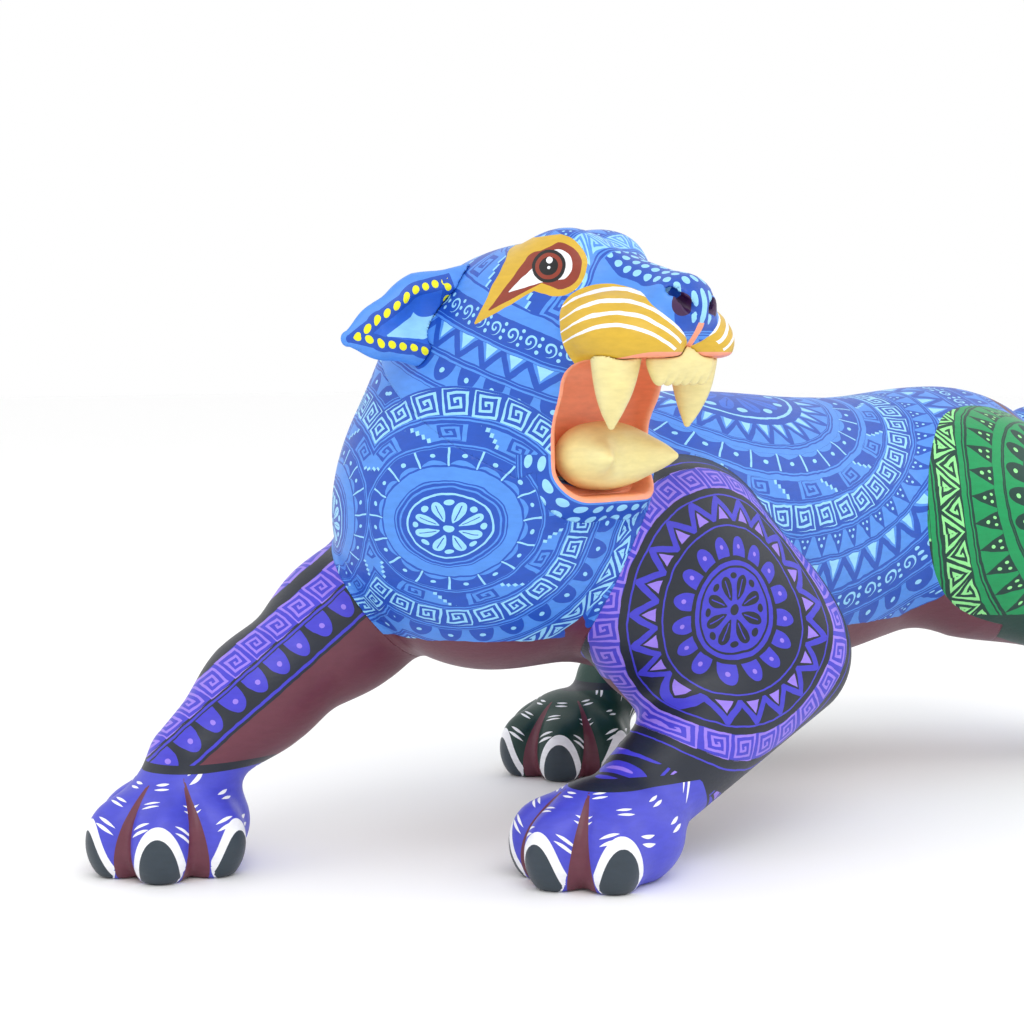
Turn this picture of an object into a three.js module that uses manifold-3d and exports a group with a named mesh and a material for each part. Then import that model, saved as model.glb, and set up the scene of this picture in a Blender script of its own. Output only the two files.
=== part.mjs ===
// A prowling big cat in the manner of a Mexican wood carving: a trunk block, a turned, roaring head on a
// dowelled neck joint, four dowelled legs, pegged ears and tail that pull out, and teeth let into the jaws.
// Millimetres, +Z up. The animal walks towards -X and turns its head to its left, towards -Y.
// The origin is the centre of the space it takes up, on the surface that it stands on.

import * as THREE from "three";
import { LoftGeometry } from "three/addons/geometries/LoftGeometry.js";
import { mergeVertices } from "three/addons/utils/BufferGeometryUtils.js";
import Module from "manifold-3d";

const wasm = await Module();
wasm.setup();

// ---------------------------------------------------------------- driving dimensions

const GAP = 0.3; // glue line or running clearance between pieces that touch
const FLOOR_CENTRE = [24.2, 5.4]; // middle of the standing figure, seen from above, in the carver's frame

const HEAD_X = -156; // the head's own middle plane, across which it is mirrored
const NECK_SEAT = { at: [HEAD_X, -12, 177.8], facing: [0, -0.548, 0.837], radius: 60 };
const LEG_SEAT = 33; // distance of the flat leg seats from the trunk's middle plane

const DOWEL = { radius: 5, half: 14 }; // leg and neck dowels
const EAR_PEG = { radius: 3.5, length: 13 };
const TAIL_PEG = { radius: 7, length: 28 };
const FANG_PEG = { radius: 4, length: 9 };

const EAR_OUT = new THREE.Vector3(-0.945, 0.19, 0.265).normalize(); // the right ear's peg, outwards
const EAR_SEAT = [-188, -12, 212]; // where the right ear's peg enters the head
const TAIL_OUT = new THREE.Vector3(0.94, 0, 0.34).normalize();
const TAIL_ROOT = [226, 0, 149];

const PALM = { back: 5, middle: 17, half: [29, 26, 22] }; // half sizes of the egg that the sole cuts flat
const TOES = { spread: [-90, -30, 30, 90], ahead: 19, aside: 18, middle: 13, half: [15, 12.5, 17] };

// ---------------------------------------------------------------- solids

// A closed geometry as a solid, turned inside out first if its faces point inwards.
function solid(geometry) {
  const bare = new THREE.BufferGeometry();
  bare.setAttribute("position", geometry.getAttribute("position"));
  bare.setIndex(geometry.index);
  const merged = mergeVertices(bare, 1e-4);
  const corners = merged.index.array;
  const kept = [];
  for (let i = 0; i < corners.length; i += 3) {
    const [a, b, c] = [corners[i], corners[i + 1], corners[i + 2]];
    if (a !== b && b !== c && c !== a) kept.push(a, b, c);
  }
  const build = (triangles) =>
    new wasm.Manifold(
      new wasm.Mesh({
        numProp: 3,
        vertProperties: new Float32Array(merged.attributes.position.array),
        triVerts: new Uint32Array(triangles),
      }),
    );
  const made = build(kept);
  return made.volume() > 0 ? made : build(kept.slice().reverse());
}

// A solid as a named mesh with its paint.
function piece(name, shape, paint) {
  const found = shape.getMesh();
  const geometry = new THREE.BufferGeometry();
  const places = new THREE.BufferAttribute(new Float32Array(found.vertProperties), 3);
  geometry.setAttribute("position", places);
  geometry.setIndex(new THREE.BufferAttribute(new Uint32Array(found.triVerts), 1));
  geometry.computeVertexNormals();
  const mesh = new THREE.Mesh(geometry, new THREE.MeshStandardMaterial(paint));
  mesh.name = name;
  return mesh;
}

function joined(shapes) {
  return shapes.reduce((whole, next) => whole.add(next));
}

function without(shape, cuts) {
  return cuts.reduce((left, cut) => left.subtract(cut), shape);
}

// An egg: a sphere stretched to three half sizes, turned about Z, then moved to its centre.
function egg(centre, half, grow = 0, turn = 0, detail = 14) {
  const geometry = new THREE.SphereGeometry(1, detail, Math.round(detail * 0.6));
  geometry.scale(half[0] + grow, half[1] + grow, half[2] + grow);
  geometry.rotateZ(THREE.MathUtils.degToRad(turn));
  geometry.translate(...centre);
  return solid(geometry);
}

// A round rod between two points.
function rod(from, to, radius, sides = 14) {
  const a = new THREE.Vector3(...from);
  const b = new THREE.Vector3(...to);
  const geometry = new THREE.CylinderGeometry(radius, radius, a.distanceTo(b), sides);
  const along = b.clone().sub(a).normalize();
  geometry.applyQuaternion(new THREE.Quaternion().setFromUnitVectors(new THREE.Vector3(0, 1, 0), along));
  geometry.translate(...a.lerp(b, 0.5).toArray());
  return solid(geometry);
}

// A block that fills the space in front of a plane, out to a metre.
function inFrontOf(at, facing) {
  const normal = new THREE.Vector3(...facing).normalize();
  const geometry = new THREE.BoxGeometry(1000, 1000, 1000);
  geometry.translate(0, 0, 500);
  geometry.applyQuaternion(new THREE.Quaternion().setFromUnitVectors(new THREE.Vector3(0, 0, 1), normal));
  geometry.translate(...at);
  return solid(geometry);
}

// A carved limb: oval sections along a smooth line. A station is [x, y, z, half across, half deep], and
// `across` is the direction that the first half size lies along. Both ends are rounded by `ends` times
// the end section's smaller half size.
function loft(stations, { across = [0, 1, 0], sides = 14, steps = 8, ends = [0.8, 0.8], grow = 0 } = {}) {
  const line = new THREE.CatmullRomCurve3(stations.map((s) => new THREE.Vector3(s[0], s[1], s[2])));
  const sizes = new THREE.CatmullRomCurve3(stations.map((s) => new THREE.Vector3(s[3], s[4], 0)));
  const side = new THREE.Vector3(...across);
  const ring = (t, beyond, scale) => {
    const tangent = line.getTangent(t);
    const wide = side.clone().addScaledVector(tangent, -side.dot(tangent)).normalize();
    const deep = tangent.clone().cross(wide);
    const size = sizes.getPoint(t);
    const centre = line.getPoint(t).addScaledVector(tangent, beyond);
    return Array.from({ length: sides }, (_, i) => {
      const angle = (i / sides) * 2 * Math.PI;
      return centre
        .clone()
        .addScaledVector(wide, Math.cos(angle) * (size.x + grow) * scale)
        .addScaledVector(deep, Math.sin(angle) * (size.y + grow) * scale);
    });
  };
  const endLength = (t, share) => {
    const size = sizes.getPoint(t);
    return share * Math.min(size.x, size.y) + grow;
  };
  const rounding = [80, 55, 28].map((degrees) => THREE.MathUtils.degToRad(degrees));
  const first = endLength(0, ends[0]);
  const last = endLength(1, ends[1]);
  const sections = [
    ...rounding.map((a) => ring(0, -first * Math.sin(a), Math.cos(a))),
    ...Array.from({ length: steps + 1 }, (_, i) => ring(i / steps, 0, 1)),
    ...rounding.reverse().map((a) => ring(1, last * Math.sin(a), Math.cos(a))),
  ];
  return solid(new LoftGeometry(sections, { capStart: true, capEnd: true }));
}

function mirrored(shape) {
  const { vertProperties, triVerts } = shape.getMesh();
  const places = Float32Array.from(vertProperties, (v, i) => (i % 3 === 0 ? 2 * HEAD_X - v : v));
  return new wasm.Manifold(
    new wasm.Mesh({ numProp: 3, vertProperties: places, triVerts: Uint32Array.from(triVerts).reverse() }),
  );
}

// ---------------------------------------------------------------- carved forms

function trunkForm() {
  const trunk = loft(
    [
      [-168, 0, 126, 54, 53],
      [-100, 0, 125, 54, 59],
      [-40, 0, 121, 52, 60],
      [40, 0, 118, 50, 59],
      [110, 0, 121, 51, 58],
      [165, 0, 127, 50, 53],
      [200, 0, 132, 42, 44],
    ],
    { sides: 24, steps: 12, ends: [0.85, 0.85] },
  );
  const neck = loft(
    [
      [-152, 4, 128, 54, 52],
      [-157, -6, 160, 50, 52],
      [HEAD_X, -18, 196, 42, 42],
    ],
    { across: [1, 0, 0], sides: 22, steps: 5, ends: [0.7, 0.75] },
  );
  return trunk.add(neck);
}

function skullForm() {
  const skull = loft(
    [
      [HEAD_X, -8, 204, 40, 34],
      [HEAD_X, -38, 211, 38, 30],
      [HEAD_X, -66, 218, 31, 22],
      [HEAD_X, -88, 214, 22, 15],
      [HEAD_X, -103, 214, 14, 11],
    ],
    { across: [1, 0, 0], sides: 18, steps: 8, ends: [0.7, 0.6] },
  );
  const pad = egg([HEAD_X - 12, -86, 206.5], [18, 24, 13], 0, -6);
  const brow = egg([HEAD_X - 14, -62, 229], [14, 19, 13], 0, 0, 12);
  const cheek = egg([HEAD_X - 17, -42, 182], [19, 26, 32]);
  const jaw = loft(
    [
      [HEAD_X, -36, 172, 33, 20],
      [HEAD_X, -46, 160, 27, 17],
      [HEAD_X, -54, 150, 21, 13],
    ],
    { across: [1, 0, 0], sides: 16, steps: 4, ends: [0.6, 0.6] },
  );
  return joined([skull, pad, mirrored(pad), brow, mirrored(brow), cheek, mirrored(cheek), jaw]);
}

// The open mouth: deep between the cheeks and wide open in front.
function mouthForm() {
  return loft(
    [
      [HEAD_X, -56, 175, 21, 14],
      [HEAD_X, -78, 171, 27, 23],
      [HEAD_X, -104, 166, 38, 29],
      [HEAD_X, -130, 160, 46, 34],
    ],
    { across: [1, 0, 0], sides: 16, steps: 5, ends: [0.9, 0.3] },
  );
}

// A paw with four fanned toes, standing at `at` and pointing `heading` degrees from +X, flat underneath.
function pawForm(at, heading, grow = 0) {
  const turned = (x, y, z) => {
    const angle = THREE.MathUtils.degToRad(heading);
    return [
      at[0] + x * Math.cos(angle) - y * Math.sin(angle),
      at[1] + x * Math.sin(angle) + y * Math.cos(angle),
      z,
    ];
  };
  const palm = egg(turned(-PALM.back, 0, PALM.middle), PALM.half, grow, heading);
  const toes = TOES.spread.map((spread) => {
    const angle = THREE.MathUtils.degToRad(spread);
    const place = turned(TOES.ahead * Math.cos(angle), TOES.aside * Math.sin(angle), TOES.middle);
    return egg(place, TOES.half, grow, heading + spread, 10);
  });
  return joined([palm, ...toes]);
}

const LEGS = {
  foreleg_left: {
    side: -1,
    dowels: [[-112, 112], [-76, 96]],
    form: (grow) =>
      joined([
        egg([-92, -46, 103], [51, 31, 50], grow, 0, 18),
        egg([-58, -57, 86], [38, 24, 36], grow),
        loft([[-46, -64, 76, 24, 26], [-88, -66, 52, 21, 23], [-134, -67, 30, 20, 20]], { grow, steps: 5 }),
        pawForm([-163, -67], 150, grow),
      ]),
  },
  foreleg_right: {
    side: 1,
    dowels: [[-160, 116], [-146, 96]],
    form: (grow) =>
      joined([
        loft(
          [[-152, 38, 114, 28, 36], [-190, 50, 92, 25, 27], [-226, 56, 65, 20, 21], [-256, 60, 40, 16.5, 16.5]],
          { grow, steps: 7 },
        ),
        pawForm([-266, 60], 195, grow),
      ]),
  },
  hind_leg_left: {
    side: -1,
    dowels: [[128, 132], [164, 112]],
    form: (grow) =>
      joined([
        egg([138, -34, 118], [70, 42, 54], grow, 0, 18),
        loft([[158, -48, 102, 32, 42], [190, -68, 72, 24, 27], [213, -76, 36, 18, 18]], { grow, steps: 5 }),
        pawForm([212, -76], 184, grow),
      ]),
  },
  hind_leg_right: {
    side: 1,
    dowels: [[128, 132], [160, 112]],
    form: (grow) =>
      joined([
        egg([138, 34, 118], [70, 42, 54], grow, 0, 18),
        loft([[114, 52, 102, 30, 40], [58, 74, 77, 24, 27], [14, 86, 42, 18, 18]], { grow, steps: 5 }),
        pawForm([-16, 88], 187, grow),
      ]),
  },
};

// ---------------------------------------------------------------- joints between the pieces

const floor = inFrontOf([0, 0, 0], [0, 0, -1]);
const dowels = [];

// A dowel through a seat, and the hole that it is glued into.
function addDowel(name, at, along) {
  const half = new THREE.Vector3(...along).multiplyScalar(DOWEL.half);
  const reach = half.clone().addScaledVector(half.clone().normalize(), GAP);
  const centre = new THREE.Vector3(...at);
  const ends = (v) => [centre.clone().sub(v).toArray(), centre.clone().add(v).toArray()];
  dowels.push({ name, shape: rod(...ends(half), DOWEL.radius) });
  return rod(...ends(reach), DOWEL.radius + GAP);
}

function legPieces(trunk) {
  const legs = [];
  let left = trunk;
  for (const [name, leg] of Object.entries(LEGS)) {
    const seat = [0, leg.side * LEG_SEAT, 0];
    const pocketFloor = [0, leg.side * (LEG_SEAT - GAP), 0];
    const holes = leg.dowels.map(([x, z], i) =>
      addDowel(`${name}_dowel_${i + 1}`, [x, leg.side * LEG_SEAT, z], [0, 1, 0]),
    );
    const shape = leg.form(0).intersect(inFrontOf(seat, [0, leg.side, 0])).subtract(floor);
    const pocket = leg.form(GAP).intersect(inFrontOf(pocketFloor, [0, leg.side, 0]));
    legs.push({ name, shape: without(shape, holes) });
    left = without(left, [pocket, ...holes]);
  }
  return { legs, trunk: left };
}

// The right ear: a hollowed leaf that stands on a flat seat at the side of the head.
function earLeaf() {
  const leaf = loft(
    [
      [-178, -14, 213, 16, 6.5],
      [-190, -11, 212, 18, 7],
      [-206, -8, 210, 14, 5.5],
      [-220, -5, 207, 7, 4],
      [-229, -3, 206, 2, 2],
    ],
    { across: [0.39, 0, 0.92], sides: 12, steps: 8, ends: [0.5, 0.6] },
  );
  const hollow = egg([-203, -18, 209], [18, 9, 10], 0, 0, 12);
  const clearOfHead = inFrontOf(alongPeg(EAR_SEAT, EAR_OUT, GAP), EAR_OUT.toArray());
  return leaf.subtract(hollow).intersect(clearOfHead);
}

function alongPeg(from, direction, distance) {
  return new THREE.Vector3(...from).addScaledVector(direction, distance).toArray();
}

function earPeg(grow) {
  const inner = alongPeg(EAR_SEAT, EAR_OUT, -EAR_PEG.length - grow);
  return rod(inner, alongPeg(EAR_SEAT, EAR_OUT, 4), EAR_PEG.radius + grow, 12);
}

// The flat cut at the side of the head that the ear stands on.
function earSeatCut() {
  return rod(EAR_SEAT, alongPeg(EAR_SEAT, EAR_OUT, 30), 21, 24);
}

// An upper canine: a slightly bowed cone under the lip, with a peg that goes up into the jaw.
function upperFang() {
  const [x, y, z] = [HEAD_X - 21, -89, 198];
  const cone = (grow) =>
    loft(
      [
        [x, y, z, 9, 9.5],
        [x - 0.5, y + 0.5, z - 11, 7.5, 8],
        [x - 0.5, y + 1.5, z - 20, 4.6, 5],
        [x, y + 2, z - 27, 1.6, 1.6],
      ],
      { across: [1, 0, 0], sides: 12, steps: 5, ends: [0.1, 0.9], grow },
    );
  const peg = (grow) => rod([x, y, z - 3], [x, y, z + FANG_PEG.length + grow], FANG_PEG.radius + grow);
  return { cone, peg };
}

// The upper incisors: one strip with a scalloped edge, let into a slot under the nose.
function incisorForm(grow) {
  const tooth = 5;
  const count = 6;
  const outline = new THREE.Shape();
  const half = (tooth * count) / 2;
  outline.moveTo(-half - grow, 5 + grow);
  outline.lineTo(-half - grow, -6 - grow);
  for (let i = 0; i < count; i++) {
    const x = -half + tooth * i;
    outline.quadraticCurveTo(x + tooth / 2, -10 - grow, x + tooth, -6 - grow);
  }
  outline.lineTo(half + grow, 5 + grow);
  const depth = 8 + 2 * grow;
  const geometry = new THREE.ExtrudeGeometry(outline, { depth, bevelEnabled: false, curveSegments: 4 });
  geometry.translate(0, 0, -depth / 2);
  geometry.rotateX(Math.PI / 2);
  geometry.translate(HEAD_X, -101, 198);
  return solid(geometry);
}

// The lower teeth: one piece, a cushion between two splayed canines, with a peg into the jaw.
function lowerTeethForm(grow) {
  const cushion = egg([HEAD_X, -66, 162], [22, 9, 15], grow, 0, 12);
  const canine = (side) =>
    loft(
      [
        [HEAD_X + side * 12, -66, 161, 10, 11],
        [HEAD_X + side * 16, -78, 163, 8, 9],
        [HEAD_X + side * 20, -88, 165, 4, 4.5],
        [HEAD_X + side * 22, -94, 166, 1.5, 1.5],
      ],
      { across: [1, 0, 0], sides: 10, steps: 4, ends: [0.3, 0.8], grow },
    );
  return joined([cushion, canine(-1), canine(1)]);
}

function lowerTeethPeg(grow) {
  return rod([HEAD_X, -64, 163], [HEAD_X, -50 + grow, 165], 4 + grow, 12);
}

function tailForm() {
  return loft(
    [
      [...alongPeg(TAIL_ROOT, TAIL_OUT, GAP), 16, 16],
      [...alongPeg(TAIL_ROOT, TAIL_OUT, 22), 14, 14],
      [280, -1, 156, 12.5, 12.5],
      [308, -5, 150, 11.5, 11.5],
      [332, -12, 166, 11, 11],
      [336, -18, 196, 10.5, 10.5],
      [320, -21, 222, 10, 10],
      [300, -21, 232, 9, 9],
    ],
    { sides: 14, steps: 20, ends: [0.2, 0.9] },
  ).intersect(inFrontOf(alongPeg(TAIL_ROOT, TAIL_OUT, GAP), TAIL_OUT.toArray()));
}

function tailPeg(grow) {
  const inner = alongPeg(TAIL_ROOT, TAIL_OUT, -TAIL_PEG.length - grow);
  return rod(inner, alongPeg(TAIL_ROOT, TAIL_OUT, 6), TAIL_PEG.radius + grow, 16);
}

// The flat cut at the rump that the tail's root stands on.
function tailSeatCut() {
  return rod(TAIL_ROOT, alongPeg(TAIL_ROOT, TAIL_OUT, 60), 60, 24);
}

// ---------------------------------------------------------------- the figure

const BLUE = { color: 0x4e8fe8, roughness: 0.45, metalness: 0 };
const VIOLET = { color: 0x4846c4, roughness: 0.45, metalness: 0 };
const GREEN = { color: 0x009655, roughness: 0.45, metalness: 0 };
const CREAM = { color: 0xeee4a2, roughness: 0.4, metalness: 0 };
const BARE_WOOD = { color: 0xd9b98a, roughness: 0.7, metalness: 0 };

const neckFacing = new THREE.Vector3(...NECK_SEAT.facing).normalize();
const aboveNeck = (gap) =>
  rod(alongPeg(NECK_SEAT.at, neckFacing, gap), alongPeg(NECK_SEAT.at, neckFacing, 150), NECK_SEAT.radius, 28);
const headSide = inFrontOf(alongPeg(NECK_SEAT.at, neckFacing, GAP), NECK_SEAT.facing);
const neckHoles = ["right", "left"].map((side, i) => {
  const [, y, z] = NECK_SEAT.at;
  return addDowel(`neck_dowel_${side}`, [HEAD_X - 17 + 34 * i, y, z], neckFacing.toArray());
});

// The trunk block with its neck: cut flat for the head and the tail, and let in for the legs.
const trunkBlock = trunkForm();
const { legs, trunk } = legPieces(
  without(trunkBlock, [aboveNeck(0), tailSeatCut(), tailPeg(GAP), ...neckHoles]),
);

// The head: skull, muzzle and jaw with the top of the neck, hollowed for the mouth, ears and teeth.
const fang = upperFang();
const fangHole = fang.peg(GAP).add(fang.cone(GAP));
const earHole = earSeatCut().add(earPeg(GAP));
const head = without(skullForm().intersect(headSide).add(trunkBlock.intersect(aboveNeck(GAP))), [
  mouthForm(),
  earHole,
  mirrored(earHole),
  fangHole,
  mirrored(fangHole),
  incisorForm(GAP),
  lowerTeethForm(GAP),
  lowerTeethPeg(GAP),
  ...neckHoles,
]);

const rightEar = earLeaf().add(earPeg(0));
const rightFang = fang.cone(0).add(fang.peg(0));
const pieces = [
  piece("torso", trunk, BLUE),
  piece("head", head, BLUE),
  piece("ear_right", rightEar, BLUE),
  piece("ear_left", mirrored(rightEar), BLUE),
  piece("upper_canine_right", rightFang, CREAM),
  piece("upper_canine_left", mirrored(rightFang), CREAM),
  piece("upper_incisors", incisorForm(0), CREAM),
  piece("lower_teeth", lowerTeethForm(0).add(lowerTeethPeg(0)), CREAM),
  piece("tail", tailForm().add(tailPeg(0)), BLUE),
  ...legs.map((leg) => piece(leg.name, leg.shape, leg.name.startsWith("fore") ? VIOLET : GREEN)),
  ...dowels.map((dowel) => piece(dowel.name, dowel.shape, BARE_WOOD)),
];

const figure = new THREE.Group();
figure.position.set(-FLOOR_CENTRE[0], -FLOOR_CENTRE[1], 0);
figure.add(...pieces);

export default figure;
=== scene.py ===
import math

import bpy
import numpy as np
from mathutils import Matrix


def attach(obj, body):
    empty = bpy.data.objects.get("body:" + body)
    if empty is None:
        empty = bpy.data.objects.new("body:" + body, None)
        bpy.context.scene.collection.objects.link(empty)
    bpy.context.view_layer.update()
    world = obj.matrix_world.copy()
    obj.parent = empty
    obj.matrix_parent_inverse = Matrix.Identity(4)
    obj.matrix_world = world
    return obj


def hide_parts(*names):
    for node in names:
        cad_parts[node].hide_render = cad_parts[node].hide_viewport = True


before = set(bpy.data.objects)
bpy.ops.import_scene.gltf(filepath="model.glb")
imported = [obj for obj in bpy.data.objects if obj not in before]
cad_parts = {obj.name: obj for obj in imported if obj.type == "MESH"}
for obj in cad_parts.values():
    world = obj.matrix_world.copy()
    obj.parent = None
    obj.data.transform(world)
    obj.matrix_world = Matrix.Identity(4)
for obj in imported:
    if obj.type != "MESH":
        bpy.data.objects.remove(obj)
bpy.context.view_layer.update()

# A carved and painted big cat, sculpted as smooth blends of eggs and tapered rods in the carver's frame:
# millimetres, +Z up, walking towards -X, with the head turned towards -Y. Each carved CAD node is replaced
# by the stretch of that sculpt which it stands for. The paint is worked out from place alone.

# ---- driving dimensions

FLOOR_CENTRE = np.array([24.2, 5.4, 0.0])  # the CAD model's origin in the carver's frame
MM = 0.001
GRID = 1.36  # spacing of the sculpting grid
FINE = 0.6  # the same for ears, teeth and tail

HEAD_X = -156.0  # the head's middle plane
GAP = 0.3  # between pieces that meet
REACH = 45.0  # how far beyond its box a limb's field is worked out
FAR = 300.0
LIP_Z = 194.5  # the flat underside of the whisker pads
NECK_SEAT = np.array([HEAD_X, -12.0, 177.8])
NECK_FACING = np.array([0.0, -0.548, 0.837])
NECK_RADIUS = 60.0
LEG_SEAT = 33.0
EAR_SEAT = np.array([-188.0, -12.0, 212.0])
EAR_OUT = np.array([-0.945, 0.19, 0.265]) / math.hypot(0.945, 0.19, 0.265)
EAR_PEG = {"radius": 3.5, "length": 13.0}
EAR_PLACE = np.array([-186.0, -16.0, 211.5])
EAR_ALONG = np.array([-0.977, 0.183, -0.122])
EAR_UP = np.array([-0.106, 0.104, 0.989])
EAR_AXES = (EAR_ALONG, EAR_UP, np.cross(EAR_ALONG, EAR_UP))  # to its tip, to its top edge, to its back
TAIL_ROOT = np.array([226.0, 0.0, 149.0])
TAIL_OUT = np.array([0.94, 0.0, 0.34]) / math.hypot(0.94, 0.34)
TAIL_PEG = {"radius": 7.0, "length": 28.0}

PAWS = {  # sole centre, and heading in degrees from +X
    "foreleg_left": ((-163.0, -67.0), 150.0),
    "foreleg_right": ((-266.0, 60.0), 195.0),
    "hind_leg_left": ((212.0, -76.0), 184.0),
    "hind_leg_right": ((-16.0, 88.0), 187.0),
}
TOE_SPREAD = (-90.0, -30.0, 30.0, 90.0)
GROOVE_SPREAD = (-60.0, 0.0, 60.0)
HAUNCH_X = 139.0
HAUNCH_HALF = (71, 43, 53)
HAUNCH_OVAL = ((HAUNCH_X, 121), (65.5, 52))  # middle and half axes of the paint line round a haunch
SHANKS = {
    "hind_leg_left": [(150, -45, 105), (190, -70, 72), (213, -76, 34)],
    "hind_leg_right": [(120, 48, 103), (60, 74, 78), (14, 86, 40)],
}
SHANK_RADII = [44, 27, 18]
TAIL_LINE = [
    (226, 0, 149), (247, 0, 156.5), (280, -1, 156), (308, -5, 150),
    (332, -12, 166), (336, -18, 196), (320, -21, 222), (300, -21, 232),
]
TAIL_RADII = [16, 14, 12.5, 11.5, 11, 10.5, 10, 9]

CAMERA_PLACE = np.array([-760.0, -619.0, 197.0])
CAMERA_DIP = 4.13  # degrees below level
LENS = 76.992  # mm, on a 36 mm sensor
FLOOR_SIDE = 16.0  # m
LIGHTS = [  # name, place, target and side in m of the row frame, watts
    ("key", (-0.9, -1.2, 1.7), (-0.1, 0, 0.12), 1.4, 14),
    ("fill", (-1.8, 0.9, 1.1), (0, 0, 0.12), 1.6, 4),
    ("right", (1.4, -1.2, 1.2), (0.1, 0, 0.12), 1.4, 5),
]


# ---- distance fields

def turn_z(degrees):
    c, s = math.cos(math.radians(degrees)), math.sin(math.radians(degrees))
    return np.array([[c, -s, 0], [s, c, 0], [0, 0, 1.0]])


def egg(p, centre, half, axes=None):
    q = p - np.asarray(centre, float)
    if axes is not None:
        q = q @ axes
    half = np.asarray(half, float)
    near = np.linalg.norm(q / half, axis=-1)
    slope = np.linalg.norm(q / (half * half), axis=-1)
    return near * (near - 1) / np.maximum(slope, 1e-9)


def rod(p, a, b, radius_a, radius_b):
    a = np.asarray(a, float)
    ab = np.asarray(b, float) - a
    along = np.clip((p - a) @ ab / (ab @ ab), 0, 1)
    away = np.linalg.norm(p - a - along[..., None] * ab, axis=-1)
    return away - (radius_a + (radius_b - radius_a) * along)


def pin(p, a, b, radius):
    """A rod with flat ends."""
    a = np.asarray(a, float)
    ab = np.asarray(b, float) - a
    length = np.linalg.norm(ab)
    along = (p - a) @ ab / length
    across = np.linalg.norm(p - a - (along / length)[..., None] * ab, axis=-1)
    return np.maximum(across - radius, np.abs(along - length / 2) - length / 2)


def join(a, b, soft):
    h = np.maximum(soft - np.abs(a - b), 0) / soft
    return np.minimum(a, b) - h * h * soft * 0.25


def cut(a, b, soft):
    """What is left of a when b is carved away, with an edge rounded by soft."""
    return -join(-a, b, soft)


def joined(fields, soft):
    whole = fields[0]
    for field in fields[1:]:
        whole = join(whole, field, soft)
    return whole


def rods(p, points, radii, soft):
    pairs = zip(points, points[1:], radii, radii[1:])
    return joined([rod(p, a, b, ra, rb) for a, b, ra, rb in pairs], soft)


def smooth_line(points, values, steps):
    """A Catmull-Rom line through points, with a value carried along it."""
    rows = np.column_stack([np.asarray(points, float), values])
    rows = np.vstack([2 * rows[0] - rows[1], rows, 2 * rows[-1] - rows[-2]])
    found = []
    for i in range(1, len(rows) - 2):
        a, b, c, d = rows[i - 1:i + 3]
        for t in np.arange(steps) / steps:
            found.append(0.5 * (2 * b + (c - a) * t + (2 * a - 5 * b + 4 * c - d) * t**2
                                + (3 * b - a - 3 * c + d) * t**3))
    found.append(rows[-2])
    found = np.array(found)
    return found[:, :3], found[:, 3]


def horn(p, points, radii, steps=5):
    """A smooth tapering limb with a round section."""
    line, sizes = smooth_line(points, radii, steps)
    return rods(p, line, sizes, 0.3)


def near_side(p):
    """Points folded across the head's middle plane onto the animal's right side."""
    q = p.copy()
    q[..., 0] = HEAD_X - np.abs(q[..., 0] - HEAD_X)
    return q


def inside(low, high, field):
    """A field that is only worked out near its box, and is far away elsewhere."""
    low, high = np.asarray(low, float) - REACH, np.asarray(high, float) + REACH

    def boxed(p):
        flat = p.reshape(-1, 3)
        near = ((flat > low) & (flat < high)).all(1)
        found = np.full(len(flat), FAR)
        if near.any():
            found[near] = field(flat[near])
        return found.reshape(p.shape[:-1])

    return boxed


def trunk_field(p):
    chest = egg(p, (-152, 0, 129), (61, 57, 57))
    ribs = egg(p, (-50, 0, 121), (100, 54, 60))
    belly = egg(p, (48, 0, 117), (116, 50, 60))
    loins = egg(p, (150, 0, 126), (88, 51, 55))
    return joined([chest, ribs, belly, loins], 28)


def neck_field(p):
    low = egg(p, (-158, -2, 141), (54, 54, 50))
    middle = egg(p, (-159, -8, 170), (48, 50, 46))
    top = egg(p, (-157, -12, 196), (41, 42, 36))
    return joined([low, middle, top], 20)


def stem_field(p):
    """The trunk and neck, which the head and legs are fixed to."""
    return join(trunk_field(p), neck_field(p), 22)


def pad_slope(p):
    """Points folded onto the near side and sheared, so that an egg there slopes down to the front."""
    q = near_side(p)
    q[..., 2] -= 0.16 * (q[..., 1] + 84)
    return q


def pad_field(p):
    """The whisker pads: flat below, and higher behind than in front."""
    pad = egg(pad_slope(p), (HEAD_X - 14, -84, 205), (19, 26.5, 15))
    return cut(pad, p[..., 2] - LIP_Z, 3)


def pad_paint_field(p):
    """Below zero where the pads are ochre, which stops short of the nose."""
    pad = egg(pad_slope(p), (HEAD_X - 14, -84, 204), (19.5, 27.5, 18))
    nose = bridge_field(near_side(p))
    return np.maximum(np.maximum(pad, 191 - p[:, 2]), 0.8 - nose)


def bridge_field(q):
    """The bridge of the nose and its tip."""
    bridge = rod(q, (HEAD_X, -52, 222), (HEAD_X, -99, 213.5), 17.5, 12.5)
    return join(bridge, egg(q, (HEAD_X, -101.5, 214), (15.5, 9.3, 10.5)), 5)


def skull_field(p):
    q = near_side(p)
    d = egg(q, (HEAD_X, -36, 211), (35, 44, 29))
    brow = egg(q, (HEAD_X - 10, -54, 230), (13, 18, 13.5))
    cheek = egg(q, (HEAD_X - 20, -47, 190), (17, 24, 26))
    jaw = egg(q, (HEAD_X - 12, -50, 160), (18, 19, 21))
    chin = egg(q, (HEAD_X - 9, -59, 147), (18, 15, 11))
    for part, soft in [(brow, 10), (bridge_field(q), 8), (pad_field(p), 5),
                       (cheek, 12), (jaw, 8), (chin, 6)]:
        d = join(d, part, soft)
    return d


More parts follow.
